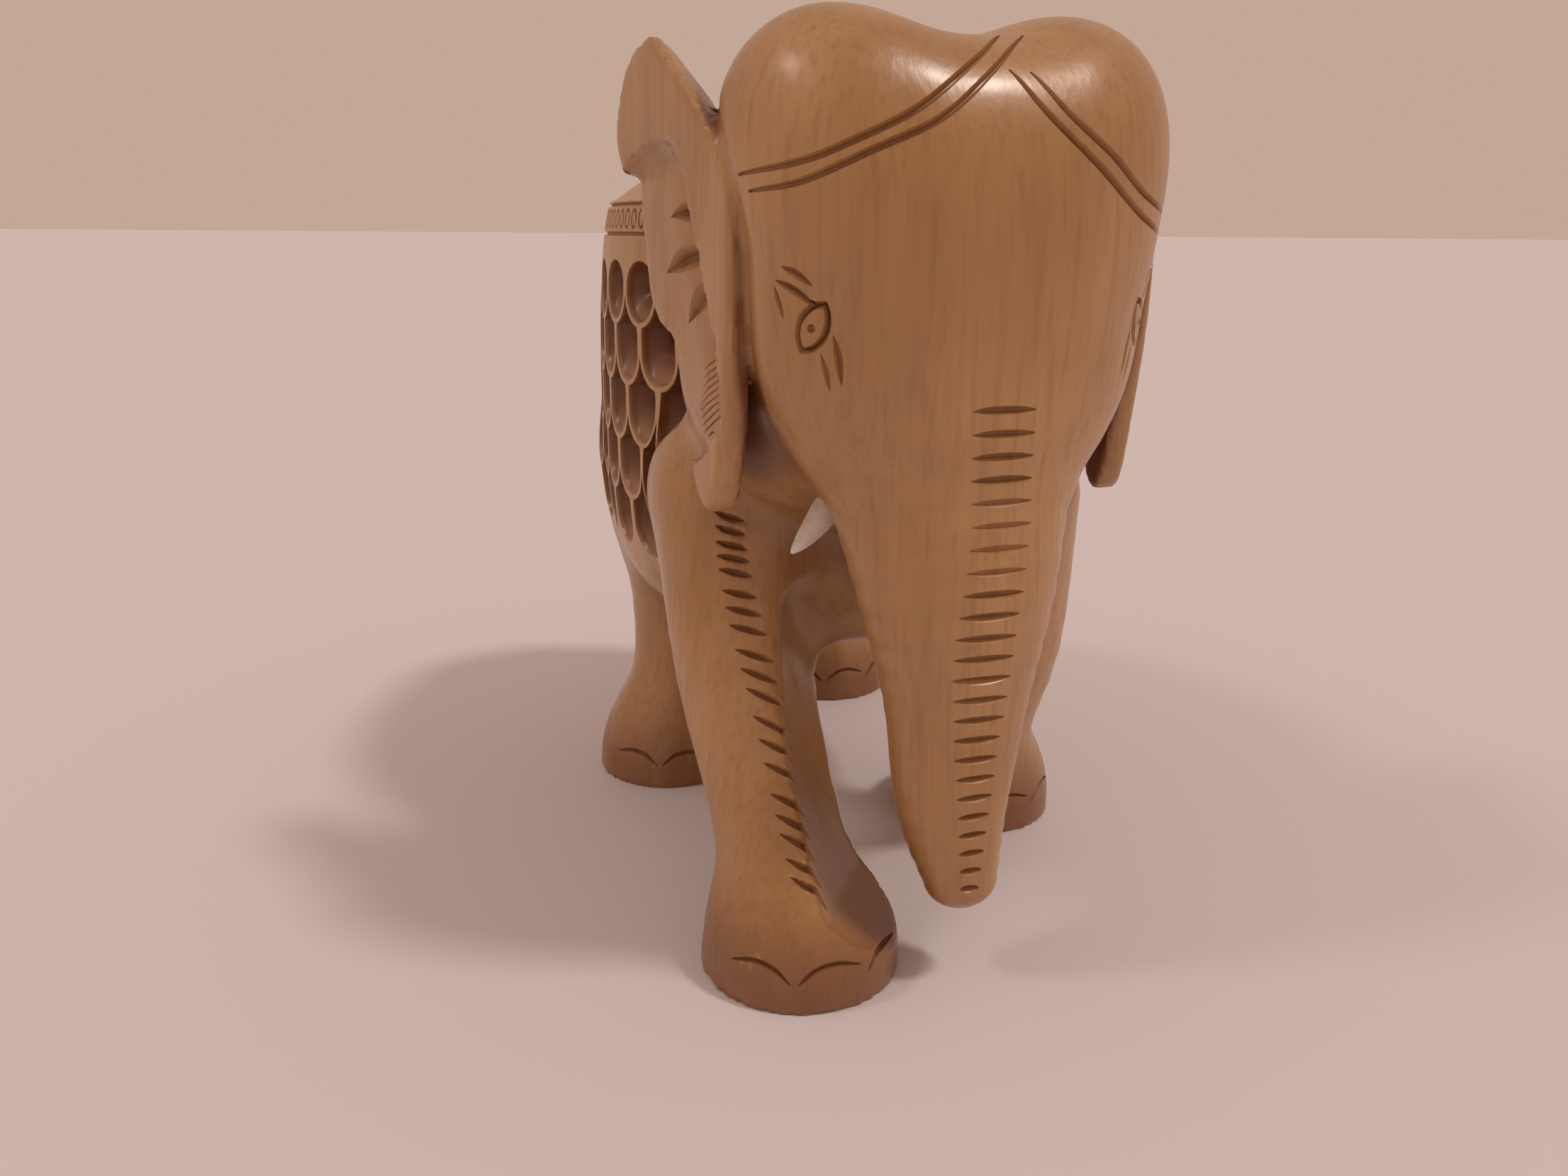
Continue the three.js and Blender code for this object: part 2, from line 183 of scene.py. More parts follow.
def ear_form(side, y, z):
    """A flap with rounded edges, dished below its hood and thicker where its top runs into the head."""
    dish = outline_distance(DISH_CURVE, y, z)
    sunk = EAR_DISH_DEPTH * np.clip(-dish / 1.8, 0, 1) ** 0.6 - 0.9 * np.clip((-dish - 2) / 5, 0, 1)
    root = 4.5 * np.clip((-14 - y) / 18, 0, 1) * np.clip((z - 96) / 12, 0, 1)
    inward = ear_face(y) - side
    near_tip = np.clip((z - 106) / 8, 0, 1) * np.clip((y + 35) / 12, 0, 1)
    bevel = EAR_BEVEL * np.clip(inward - 0.8, 0, 7) * near_tip
    edge = outline_distance(EAR_CURVE, y, z) + bevel + EAR_ROUND
    across = np.maximum(sunk - inward, inward - EAR_THICK - root) + EAR_ROUND
    outside = np.sqrt(np.maximum(across, 0) ** 2 + np.maximum(edge, 0) ** 2)
    return np.minimum(np.maximum(across, edge), 0) + outside - EAR_ROUND


def torso_form(x, y, z):
    """The trunk of the body; above the saddle cloth's hem it steps in and slopes up to the spine."""
    above = np.maximum(z - HEM_TOP, 0)
    flat_of_back = np.clip((abs(x) - 6) / 20, 0, 1)
    step = np.minimum(above, 0.8) + 0.75 * above * flat_of_back
    return soft_min(egg(TORSO, x, y, z), egg(RUMP, x, y, z), 8) + step


def eye_socket(side, y, z):
    """A shallow dish around each eye, with the eyeball swelling in its middle."""
    gap = (side - EYE[0]) ** 2 + (y - EYE[1]) ** 2 + (z - EYE[2]) ** 2
    return 1.5 * np.exp(-gap / 55) - 0.9 * np.exp(-gap / 5)


def foreleg(name, x, y, z):
    """A limb whose inner front is pared flat."""
    stations = LEG_CHAINS[name]
    at = np.clip(z, 2, 62)
    heights = stations[::-1, 2]
    middle_x, middle_y, radius = (np.interp(at, heights, stations[::-1, k]) for k in (0, 1, 3))
    inward = -np.sign(stations[0, 0])
    share = LEG_FLAT_SHARE + 0.4 * np.clip((12 - z) / 8, 0, 1) + 0.4 * np.clip((z - 50) / 10, 0, 1)
    flat = (x - middle_x) * inward * LEG_FLAT[0] + (y - middle_y) * LEG_FLAT[1] - share * radius
    return np.maximum(limb(stations, x, y, z), flat)


def elephant_form(x, y, z):
    side = abs(x)
    wood = soft_min(torso_form(x, y, z), egg(SHOULDER, x, y, z), 6)
    for name in ("front_right", "front_left"):
        wood = soft_min(wood, foreleg(name, x, y, z), 7)
    for name in ("rear_right", "rear_left"):
        wood = soft_min(wood, limb(LEG_CHAINS[name], x, y, z), 7)
    wood = soft_min(wood, limb(NECK_CHAIN, x, y, z), 8)
    head = soft_min(egg(SKULL, x, y, z), egg(BOSS, side, y, z), 5) + eye_socket(side, y, z)
    trunk = limb(TRUNK_CHAIN, x / TRUNK_SPREAD, y, z)
    wood = soft_min(wood, soft_min(head, trunk, 9), 5)
    ear = ear_form(side, y, z)
    crease = 0.55 * np.exp(-(wood**2 + ear**2) / 2.0)
    wood = soft_min(wood, ear, 0.6) + crease
    wood = soft_min(wood, limb(TAIL_CHAIN, x, y, z), 1.5)
    return np.maximum(wood, -z)


CALF = dict(
    torso=dict(centre=(0, 2, 20), radii=(9.5, 14, 10), power=2.3),
    skull=dict(centre=(0, -13.5, 25), radii=(7.2, 6.5, 8), power=2.2),
    ear=dict(centre=(8, -9, 24.5), radii=(2.6, 5.5, 7.5), power=2.2),
    trunk=catmull_rom([(0, -17.5, 23, 4), (0, -20, 15, 2.8), (0, -20.2, 6, 2)], CHAIN_STEPS),
    legs=[(-5, -7.5), (5, -7.5), (-5, 10.5), (5, 10.5)],
    leg_top=15,
    leg_radius=3.7,
)


def calf_form(x, y, z):
    wood = egg(CALF["torso"], x, y, z)
    for leg_x, leg_y in CALF["legs"]:
        radius = CALF["leg_radius"]
        leg = np.array([(leg_x, leg_y, CALF["leg_top"], radius), (leg_x, leg_y, -3, radius)])
        wood = soft_min(wood, limb(leg, x, y, z), 2)
    wood = soft_min(wood, egg(CALF["skull"], x, y, z), 3)
    wood = soft_min(wood, limb(CALF["trunk"], x, y, z), 2.5)
    wood = soft_min(wood, egg(CALF["ear"], abs(x), y, z), 1.2)
    return np.maximum(wood, -z)


def gradient(form, p, probe=0.02):
    here = form(*p.T)
    slopes = []
    for axis in range(3):
        ahead = p.copy()
        ahead[:, axis] += probe
        slopes.append((form(*ahead.T) - here) / probe)
    return here, np.stack(slopes, axis=1)


def toward_surface(form, p, rounds):
    for _ in range(rounds):
        here, slope = gradient(form, p)
        p = p - (here / np.maximum((slope**2).sum(1), 0.2))[:, None] * slope
    return p


def skin(form, low, high, step):
    """A closed mesh on a form's zero surface: a point for each crossed cell, a quad for each crossed edge."""
    counts = [int(math.ceil((b - a) / step)) + 1 for a, b in zip(low, high)]
    axes = [a + step * np.arange(n) for a, n in zip(low, counts)]
    depth = np.empty(counts, np.float32)
    slab = 12
    for k in range(0, counts[2], slab):
        z = axes[2][None, None, k : k + slab]
        depth[:, :, k : k + slab] = form(axes[0][:, None, None], axes[1][None, :, None], z)
    inside = depth < 0
    cells, index = crossed_cells(inside)
    points = np.array(low) + step * crossing_points(depth, cells)
    reach = 0.45 * step
    points = np.clip(toward_surface(form, points, 3), points - reach, points + reach)
    return points, crossed_quads(inside, index)


def crossed_cells(inside):
    filled = np.zeros([n - 1 for n in inside.shape], np.int8)
    for i, j, k in CORNERS:
        rows, columns, layers = filled.shape
        filled += inside[i : rows + i, j : columns + j, k : layers + k]
    cells = np.argwhere((filled > 0) & (filled < 8))
    index = np.full(filled.shape, -1, np.int32)
    index[tuple(cells.T)] = np.arange(len(cells))
    return cells, index


CORNERS = [(i, j, k) for i in (0, 1) for j in (0, 1) for k in (0, 1)]


def crossing_points(depth, cells):
    """The mean of the places where the surface crosses each cell's edges, in steps."""
    total = np.zeros((len(cells), 3))
    hits = np.zeros(len(cells))
    for corner in CORNERS:
        for axis in range(3):
            if corner[axis]:
                continue
            ahead = list(corner)
            ahead[axis] = 1
            da = depth[tuple((cells + corner).T)]
            db = depth[tuple((cells + ahead).T)]
            crossed = (da < 0) != (db < 0)
            point = (cells + corner).astype(float)
            point[:, axis] += np.where(crossed, da / np.where(da == db, 1, da - db), 0)
            total += point * crossed[:, None]
            hits += crossed
    return total / hits[:, None]


def crossed_quads(inside, index):
    quads = []
    for axis in range(3):
        here = [slice(1, -1)] * 3
        ahead = [slice(1, -1)] * 3
        ahead[axis] = slice(2, None)
        where = np.argwhere(inside[tuple(here)] != inside[tuple(ahead)]) + 1
        ring = []
        for back in ((1, 1), (0, 1), (0, 0), (1, 0)):
            cell = where.copy()
            cell[:, (axis + 1) % 3] -= back[0]
            cell[:, (axis + 2) % 3] -= back[1]
            ring.append(index[tuple(cell.T)])
        ring = np.stack(ring, axis=1)
        outward = inside[tuple(where.T)]
        quads.append(np.where(outward[:, None], ring, ring[:, ::-1]))
    return np.vstack(quads)


# ---- Mesh objects ---------------------------------------------------------------------------------
def make_object(name, points, faces):
    """Points are in the carver's frame, mm."""
    mesh = bpy.data.meshes.new(name)
    mesh.from_pydata(((np.asarray(points) + HOME) * MM).tolist(), [], [list(map(int, f)) for f in faces])
    mesh.validate()
    piece = bpy.data.objects.new(name, mesh)
    bpy.context.scene.collection.objects.link(piece)
    return piece


def joined(parts):
    """Several (points, faces) as one."""
    points, faces, count = [], [], 0
    for p, f in parts:
        points.append(np.asarray(p))
        faces += [[k + count for k in face] for face in f]
        count += len(p)
    return np.vstack(points), faces


def tube_faces(rings, sides, closed=False):
    """Quads between rings of points, with flat caps on an open tube. Rings run on while sides turn left."""
    faces = []
    for r in range(rings if closed else rings - 1):
        a, b = r * sides, (r + 1) % rings * sides
        faces += [(a + k, b + k, b + (k + 1) % sides, a + (k + 1) % sides) for k in range(sides)]
    if not closed:
        faces.append(tuple(range(sides)))
        faces.append(tuple(range(rings * sides - 1, (rings - 1) * sides - 1, -1)))
    return faces


def outward(points, faces):
    """The same closed shape with its faces turned to point out."""
    volume = 0.0
    for face in faces:
        a = points[face[0]]
        for b, c in zip(face[1:-1], face[2:]):
            volume += a @ np.cross(points[b], points[c])
    return points, [f[::-1] for f in faces] if volume < 0 else faces


BOX_LOW, BOX_HIGH = (np.array(corner) / MM - HOME for corner in cad_box)
UNCUT = skin(elephant_form, (-44, -60, -2.4), (46, 94, 132), GRID)
UNCUT = np.clip(UNCUT[0], BOX_LOW, BOX_HIGH), UNCUT[1]
UNCUT_TREE = BVHTree.FromPolygons(UNCUT[0].tolist(), UNCUT[1].tolist())


def surface(points):
    """The nearest points on the uncut elephant, and the outward normals there."""
    found = [UNCUT_TREE.find_nearest(Vector(p)) for p in points]
    return np.array([f[0] for f in found]), np.array([f[1] for f in found])


def flank(side, y, z):
    """Points of one flank at those y and z, and the outward normals there."""
    y, z = np.broadcast_arrays(y, z)
    low, high = np.full(y.shape, 2.0), np.full(y.shape, 60.0)
    for _ in range(24):
        middle = (low + high) / 2
        inside = torso_form(middle, y, z) < 0
        low = np.where(inside, middle, low)
        high = np.where(inside, high, middle)
    p = np.stack([side * low, y, z], axis=1)
    slope = gradient(torso_form, p)[1]
    return p, slope / np.linalg.norm(slope, axis=1)[:, None]


# ---- Cutters: closed shapes that leave a carved mark -----------------------------------------------
def groove(path, width, depth, steps=6, bluntness=0.5):
    """A tapering knife cut along the surface, pointed at both ends."""
    p, n = surface(catmull_rom(path, steps))
    run = np.gradient(p, axis=0)
    across = np.cross(n, run)
    across /= np.linalg.norm(across, axis=1)[:, None]
    taper = np.maximum(np.sin(np.pi * np.linspace(0, 1, len(p))), 0.03) ** bluntness
    lift = 0.4
    section = [(-0.7 * width, lift), (0.7 * width, lift), (0.1 * width, -depth), (-0.1 * width, -depth)]
    rings = []
    for k in range(len(p)):
        for a, h in section:
            sink = h * taper[k] if h < 0 else h
            rings.append(p[k] + across[k] * a * taper[k] + n[k] * sink)
    return outward(np.array(rings), tube_faces(len(p), len(section)))


def leaf_ring(centre, lean, half_length, half_width, width, depth, sides=24):
    """An almond line cut around a centre, its ends drawn to points along lean."""
    p, n = surface([centre])
    across = np.cross(n[0], lean)
    across /= np.linalg.norm(across)
    run = np.cross(across, n[0])
    angle = 2 * np.pi * np.arange(sides) / sides
    swell = np.sign(np.sin(angle)) * np.abs(np.sin(angle)) ** 1.5
    almond = np.cos(angle)[:, None] * run * half_length + swell[:, None] * across * half_width
    return line_around(p[0], almond, width, depth)


def line_around(centre, offsets, width, depth):
    """A closed V cut through the surface points at those offsets from the centre."""
    away = offsets / np.linalg.norm(offsets, axis=1)[:, None]
    q, m = surface(centre + offsets)
    section = [(-0.7 * width, 0.35), (0.7 * width, 0.35), (0, -depth)]
    rings = [q[k] + away[k] * a + m[k] * h for k in range(len(q)) for a, h in section]
    return outward(np.array(rings), tube_faces(len(q), len(section), closed=True))


def ring_groove(centre, along, half_length, half_width, width, depth, sides=20):
    """An oval line cut around a centre on the surface."""
    p, n = surface([centre])
    across = np.cross(n[0], along)
    across /= np.linalg.norm(across)
    run = np.cross(across, n[0])
    angle = 2 * np.pi * np.arange(sides) / sides
    oval = np.cos(angle)[:, None] * run * half_length + np.sin(angle)[:, None] * across * half_width
    return line_around(p[0], oval, width, depth)


def dimple(centre, radius, depth, sides=12):
    """A small round pit."""
    p, n = surface([centre])
    across = np.cross(n[0], (0, 0, 1))
    across /= np.linalg.norm(across)
    run = np.cross(across, n[0])
    angle = 2 * np.pi * np.arange(sides) / sides
    rings = []
    for share, h in ((1.3, 0.4), (0.75, -0.5 * depth), (0.3, -depth)):
        rings += [p[0] + radius * share * (np.cos(a) * across + np.sin(a) * run) + n[0] * h for a in angle]
    return outward(np.array(rings), tube_faces(3, sides))


SCALE_HALF = 4.9
SCALE_ROUND = 5.0
SCALE_RIM = 0.75


def scale_outline(first_row):
    """Half of a scale from its lip up: a round lip, straight sides and a top pinched by the scales above."""
    angle = np.radians([0, 16, 32, 48, 64, 80])
    half = [(SCALE_HALF * math.sin(a), SCALE_ROUND * (1 - math.cos(a))) for a in angle]
    if first_row:
        half += [(SCALE_HALF * math.sin(a), 5.6 - 4.0 * math.cos(a)) for a in np.pi - angle[::-1]]
        return half
    half.append((SCALE_HALF, 7.6))
    reach = SCALE_HALF + SCALE_RIM
    for x in (4.7, 3.6, 2.4, 1.3, 0.5, 0):
        t = min((LATTICE["spacing"] / 2 - x) / reach, 1)
        rise = (SCALE_ROUND + SCALE_RIM) * (1 - math.sqrt(1 - t * t))
        half.append((x, LATTICE["pitch"] - SCALE_RIM + rise))
    return half


# From the surface in: the share of the way from a scale's outline to its hole, and the height there.
SCALE_LEVELS = [(-0.1, 2.2), (0, 0.05), (0.07, -1.3), (0.2, -2.1), (0.45, -3.0), (0.75, -4.0), (1, -4.9),
                (1, -10)]


def scale_cut(side, y, lip, first_row):
    """One scale of the lattice: a dish that runs from its lip up and in to a hole through the wall."""
    half = scale_outline(first_row)
    outline = np.array(half + [(-x, z) for x, z in half[-2:0:-1]])
    hole_middle = 6.6 if first_row else 8.6
    angle = np.arctan2((outline[:, 1] - hole_middle) / 6, outline[:, 0] / SCALE_HALF)
    hole = np.stack([2.9 * np.cos(angle), hole_middle + (2.5 if first_row else 2.9) * np.sin(angle)], axis=1)
    rings = []
    for share, offset in SCALE_LEVELS:
        ring = outline + (hole - outline) * share
        p, n = flank(side, y + ring[:, 0], lip + ring[:, 1])
        sink = offset * np.clip(0.5 + ring[:, 1] / 16, 0.5, 1) if -5 < offset < 0 else offset
        rings.append(p + n * np.reshape(sink, (-1, 1)))
    return outward(np.vstack(rings), tube_faces(len(SCALE_LEVELS), len(outline)))


def scale_groups():
    """The scales of both flanks, in groups whose members stand clear of one another."""
    groups = {}
    for side in (-1, 1):
        for row in range(LATTICE["rows"]):
            for column in range(LATTICE["columns"] - row % 2):
                y = LATTICE["first"] + (column + 0.5 * (row % 2)) * LATTICE["spacing"]
                lip = LATTICE["top"] - (row + 1) * LATTICE["pitch"]
                key = (row % 2, column % 2)
                groups.setdefault(key, []).append(scale_cut(side, y, lip, row == 0))
    return groups.values()


def hollow():
    """The calf's room: an egg shape with its bottom levelled to a floor."""
    sides, rings = 36, 22
    points = []
    for r in range(rings + 1):
        slope = np.pi * (0.02 + 0.96 * r / rings)
        for a in 2 * np.pi * np.arange(sides) / sides:
            points.append((math.sin(slope) * math.cos(a), math.sin(slope) * math.sin(a), math.cos(slope)))
    points = np.array(points)
    u, v, w = abs(points).T
    power, upright = HOLLOW["power"], HOLLOW["upright"]
    size = ((u**power + v**power) ** (upright / power) + w**upright) ** (1 / upright)
    points = np.array(HOLLOW["centre"]) + points / size[:, None] * HOLLOW["radii"]
    points[:, 2] = np.maximum(points[:, 2], HOLLOW_FLOOR + 0.001 * points[:, 0])
    return outward(points, tube_faces(rings + 1, sides))


def mirrored(path):
    return [(-x, y, z) for x, y, z in path]


TRUNK_TICK_COUNT = 24
TRUNK_TICK_TOP = 82.1
TRUNK_TICK_PITCH = 2.88
FAINT_TICKS = (4, 5, 6, 7)
TRUNK_LINE = [(82, 0.3), (68, 1.2), (53, -0.5), (36, -0.3), (16, 0.6)]


def trunk_ticks():
    """Level cuts down the front of the trunk, shorter towards the tip."""
    heights, middles = zip(*TRUNK_LINE[::-1])
    parts = []
    for k in range(TRUNK_TICK_COUNT):
        z = TRUNK_TICK_TOP - TRUNK_TICK_PITCH * k
        middle = np.interp(z, heights, middles)
        half = min(4.2, 1.4 + 0.085 * (z - 16))
        path = [front_point(middle + half * t, z) for t in (-1, -0.4, 0.4, 1)]
        parts.append(groove(path, 1.2, 0.6 if k in FAINT_TICKS else 0.9))
    return parts


def front_point(x, z):
    """Where a line from the front at that x and z meets the elephant."""
    return UNCUT_TREE.ray_cast(Vector((x, -90, z)), Vector((0, 1, 0)))[0]


LEG_TICKS_OUTER = [(-27.6, -18.2, 63.3), (-27, -19.6, 56), (-25.6, -22.5, 46.5), (-24.1, -28.5, 36.4),
                   (-23.4, -36.8, 25.6), (-22.7, -43.3, 17)]
LEG_TICKS_INNER = [(-23.6, -21.5, 62), (-22.2, -22.7, 55.4), (-20.2, -24.4, 45), (-18.5, -31.1, 33.5),
                   (-17.8, -39.3, 22.7), (-17.6, -46.4, 13)]
LEG_TICK_COUNT = 19


def leg_ticks():
    """Slanting cuts down the front of the right foreleg."""
    outer = catmull_rom(LEG_TICKS_OUTER, 12)
    inner = catmull_rom(LEG_TICKS_INNER, 12)
    parts = []
    for k in range(LEG_TICK_COUNT):
        at = round(k / (LEG_TICK_COUNT - 1) * (len(outer) - 1))
        a, b = outer[at], inner[at]
        parts.append(groove([a, a + (b - a) * 0.35, a + (b - a) * 0.7, b], 1.15, 1.0))
    return parts


NAIL_ARC = [(-19, 4.6), (-9, 6.6), (4, 7.2), (19, 6.2)]


def toenails(leg):
    """Three arched nail lines around the front of a foot, each rising away from the middle one."""
    x, y = LEGS[leg][-1][:2]
    parts = []
    for middle in (-42, 0, 42):
        path = []
        for turn, z in NAIL_ARC:
            a = math.radians(middle + (turn if middle >= 0 else -turn))
            path.append((x + 14 * math.sin(a), y - 14 * math.cos(a), z))
        parts.append(groove(path, 0.95, 0.75, bluntness=0.4))
    return parts


HEADBAND = [
    [(-29.1, -39.5, 109), (-24.6, -47.7, 110.1), (-19, -51, 112.3), (-11, -51.8, 116.2), (-2.5, -48.1, 122.1),
     (3.2, -41.7, 125.5)],
    [(-28.3, -41.6, 107.1), (-23.9, -48.4, 108.1), (-16.8, -52, 111.4), (-8.6, -52.5, 115.1),
     (-1.4, -49.7, 120.5), (5.8, -42.8, 125.5)],
    [(0.8, -49.5, 120.7), (4.7, -52.5, 115.9), (11, -53.5, 110.6), (18.7, -52, 104.9), (26.5, -44, 102)],
    [(3.5, -49.6, 120.6), (7.6, -52.2, 116), (13.2, -52.8, 111.8), (19.4, -51.5, 107.2), (27, -43.5, 104.5)],
]


def headband():
    """Two pairs of lines that meet high on the brow."""
    return [groove(path, 1.1, 0.8, bluntness=0.25) for path in HEADBAND]


EYE_LINES = [
    ([(-20.8, -50.7, 90.8), (-20.1, -50.6, 88), (-19.4, -50.3, 85.1)], 1.1, 0.7),
    ([(-22.1, -49.5, 88.6), (-21.4, -49.6, 86.4), (-20.6, -49.4, 84.3)], 1.0, 0.5),
    ([(-25.8, -46.1, 98.6), (-24.6, -47.6, 97.8), (-23, -49.2, 96.4)], 1.1, 0.75),
    ([(-26.4, -45.2, 97), (-24.8, -47.2, 95.9), (-22.9, -49.3, 94.3)], 1.1, 0.85),
    ([(-26.6, -45, 96.3), (-26.3, -45.4, 94.4), (-25.8, -45.8, 92.6)], 0.9, 0.5),
]


def eyes():
    """Almond eyes that lean forward at the foot, a small pupil, brow cuts above and creases below."""
    parts = []
    for side in (-1, 1):
        centre = (side * EYE[0], EYE[1], EYE[2])
        parts.append(leaf_ring(centre, (-0.42 * side, -0.42, 1), 3.2, 1.95, 0.95, 1.0))
        parts.append(dimple(centre, 0.6, 0.6))
        for path, width, depth in EYE_LINES:
            parts.append(groove(path if side < 0 else mirrored(path), width, depth))
    return parts


EAR_PETALS = [
    ([(-17.5, 104.4), (-21, 105), (-25, 104.8), (-29, 102.6)], 2.5, 1.5),
    ([(-15.6, 97), (-19.5, 98.6), (-24, 99.4), (-29, 98.9)], 3.0, 1.5),
    ([(-21.8, 90.6), (-24, 93), (-27, 95), (-30.6, 96.2)], 3.0, 1.4),
]


def ear_petals():
    """Three leaf-shaped gouges that fan back from the front of each ear."""
    parts = []
    for side in (-1, 1):
        for path, width, depth in EAR_PETALS:
            spots = [(side * (ear_face(y) - EAR_DISH_DEPTH), y, z) for y, z in path]
            parts.append(groove(spots, width, depth, bluntness=0.8))
    return parts


EAR_STROKES = 13


def ear_lines():
    """Fine strokes across the foot of each ear's dish."""
    parts = []
    for side in (-1, 1):
        for k in range(EAR_STROKES):
            z = 88 - 1.05 * k
            stroke = (-27.4 + 0.25 * k, -30, -32.6)
            spots = [(side * ear_face(y), y, z - 0.55 * (y + 33)) for y in stroke]
            parts.append(groove(spots, 0.32, 0.22))
    return parts


BORDER_MIDDLE = 104.4
BORDER_HALF = 2.3
BORDER_ENDS = (1.5, 62)
BORDER_RINGS = 22


def border():
    """The engraved hem above the lattice: two lines with a row of upright ovals between them."""
    parts = []
    for side in (-1, 1):
        ys = np.linspace(*BORDER_ENDS, BORDER_RINGS)
        for z in (BORDER_MIDDLE - BORDER_HALF, BORDER_MIDDLE + BORDER_HALF):
            parts.append(groove(flank(side, ys[::3], z)[0], 0.8, 0.6, steps=4, bluntness=0.1))
        for spot in flank(side, ys, BORDER_MIDDLE)[0]:
            parts.append(ring_groove(spot, (0.0, 0.35, 1), 1.5, 0.85, 0.62, 0.75, sides=12))
    return parts


def tail_ticks():
    """Cuts across the tuft and up the tail."""
    parts = []
    for k in range(12):
        z = 44 + 4.8 * k
        y = 92
        path = [(x, y, z - 0.6 * abs(x)) for x in (-2.2, -0.8, 0.8, 2.2)]
        parts.append(groove(path, 0.8, 0.55))
    return parts


def cut(target, parts):
    """Cuts one group of closed shapes, which stand clear of one another, out of target."""
    tool = make_object("tool", *joined(parts))
    step = target.modifiers.new("cut", "BOOLEAN")
    step.operation = "DIFFERENCE"
    step.solver = "MANIFOLD"
    step.object = tool
    graph = bpy.context.evaluated_depsgraph_get()
    graph.update()
    result = bpy.data.meshes.new_from_object(target.evaluated_get(graph), depsgraph=graph)
    target.modifiers.clear()
    target.data = result
    bpy.data.objects.remove(tool)


def mark_painted_shade(piece, form, full=2.5):
    """Stores how deep each point lies below the uncut surface, and how closed in its surroundings are: the
    wood material paints shade from both.
    """
    mesh = piece.data
    places = np.empty(3 * len(mesh.vertices))
    mesh.vertices.foreach_get("co", places)
    p = places.reshape(-1, 3) / MM - HOME
    facing = np.empty(3 * len(mesh.vertices))
    mesh.vertices.foreach_get("normal", facing)
    n = facing.reshape(-1, 3)
    x, y, z = p.T
    # In the lattice the painted shade deepens over three times the depth, down into the holes.
    in_lattice = (abs(x) > 18) & (y > LATTICE["first"] - 6) & (z < LATTICE["top"] + 0.5) & (z > 47)
    depth = np.clip(-form(x, y, z) / np.where(in_lattice, 3 * full, full), 0, 1)
    shut = np.zeros(len(p))
    # Closed-in points, in hollows and under overhangs, get painted shade.
    for reach in (3.0, 7.0, 14.0):
        shut += np.clip(1 - form(*(p + n * reach).T) / reach, 0, 1) / 3
    for name, values in (("carved", depth), ("hollow_shade_amount", shut)):
        layer = mesh.attributes.new(name, "FLOAT", "POINT")
        layer.data.foreach_set("value", values.astype(np.float32))


# ---- Materials --------------------------------------------------------------------------------------
def new_material(name):
    material = bpy.data.materials.new(name)
    material.use_nodes = True
    return material, material.node_tree.nodes, material.node_tree.links


def scaled_noise(nodes, links, place, scale, detail):
    stretch = nodes.new("ShaderNodeMapping")
    stretch.inputs["Scale"].default_value = scale
    links.new(place, stretch.inputs["Vector"])
    noise = nodes.new("ShaderNodeTexNoise")
    noise.inputs["Scale"].default_value = 1.0
    noise.inputs["Detail"].default_value = detail
    links.new(stretch.outputs["Vector"], noise.inputs["Vector"])
    return noise.outputs["Fac"]


def blend_colours(nodes, links, share, first, second):
    mix = nodes.new("ShaderNodeMix")
    mix.data_type = "RGBA"
    links.new(share, mix.inputs["Factor"])
    for socket, colour in ((mix.inputs["A"], first), (mix.inputs["B"], second)):
        if isinstance(colour, tuple):
            socket.default_value = (*colour, 1)
        else:
            links.new(colour, socket)
    return mix.outputs["Result"]


def ranged(nodes, links, value, low, high, out_low=0.0, out_high=1.0):
    node = nodes.new("ShaderNodeMapRange")
    node.interpolation_type = "SMOOTHSTEP"
    node.inputs["From Min"].default_value = low
    node.inputs["From Max"].default_value = high
    node.inputs["To Min"].default_value = out_low
    node.inputs["To Max"].default_value = out_high
    links.new(value, node.inputs["Value"])
    return node.outputs["Result"]


